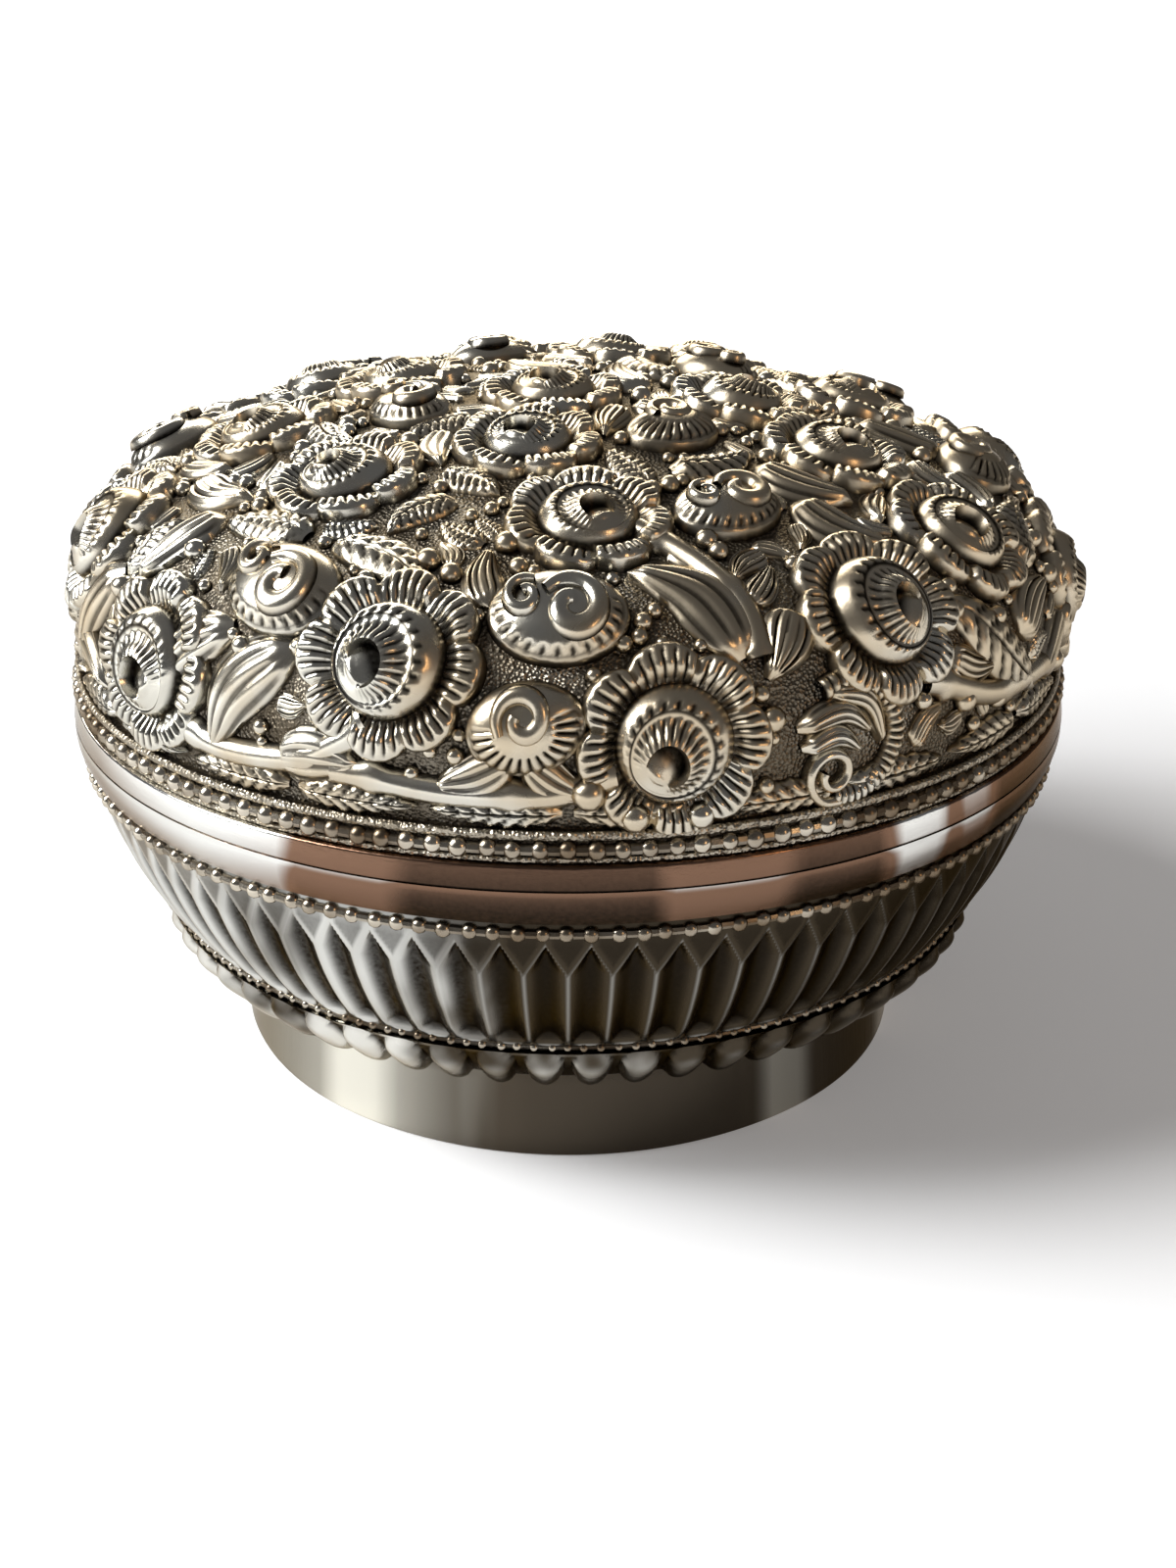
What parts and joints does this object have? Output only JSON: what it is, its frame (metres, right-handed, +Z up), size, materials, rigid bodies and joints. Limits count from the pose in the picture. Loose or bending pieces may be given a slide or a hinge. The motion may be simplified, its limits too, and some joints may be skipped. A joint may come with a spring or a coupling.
{
  "type": "round lidded box",
  "caption": "Round footed box of chased sheet metal with a fluted bowl and a domed, flower-covered lid that lifts straight off.",
  "frame": {"origin": "on the box's axis at the flat underside of the foot", "axes": "+Z up along the box's axis, the way the lid lifts; the pictured front faces -Y and +X is to its right"},
  "size_m": [0.1328, 0.1325, 0.0896],
  "materials": {
    "chased_sheet": "tarnished silver, bright on the high points and black in the hollows",
    "pearled_wire": "tarnished silver, worn bright on the tops of the beads",
    "plain_band": "smooth worn silver with fine scratches",
    "foot_sheet": "smooth tarnished silver with faint upright hammer streaks"
  },
  "bodies": {
    "base": {"foot_ring": "foot_sheet", "foot_boss_band": "chased_sheet", "bowl_shell": "chased_sheet", "flute_bead_row": "pearled_wire", "bowl_bead_row": "pearled_wire", "bowl_rim_band": "plain_band", "inner_collar": "plain_band"},
    "lid": {"lid_dome": "chased_sheet", "lid_bead_row": "pearled_wire", "lid_rim_band": "plain_band"}
  },
  "joints": [
    {"name": "lid_lift", "type": "slide", "parent": "base", "child": "lid", "axis": [0, 0, 1], "range_m": [0, 0.1]}
  ]
}
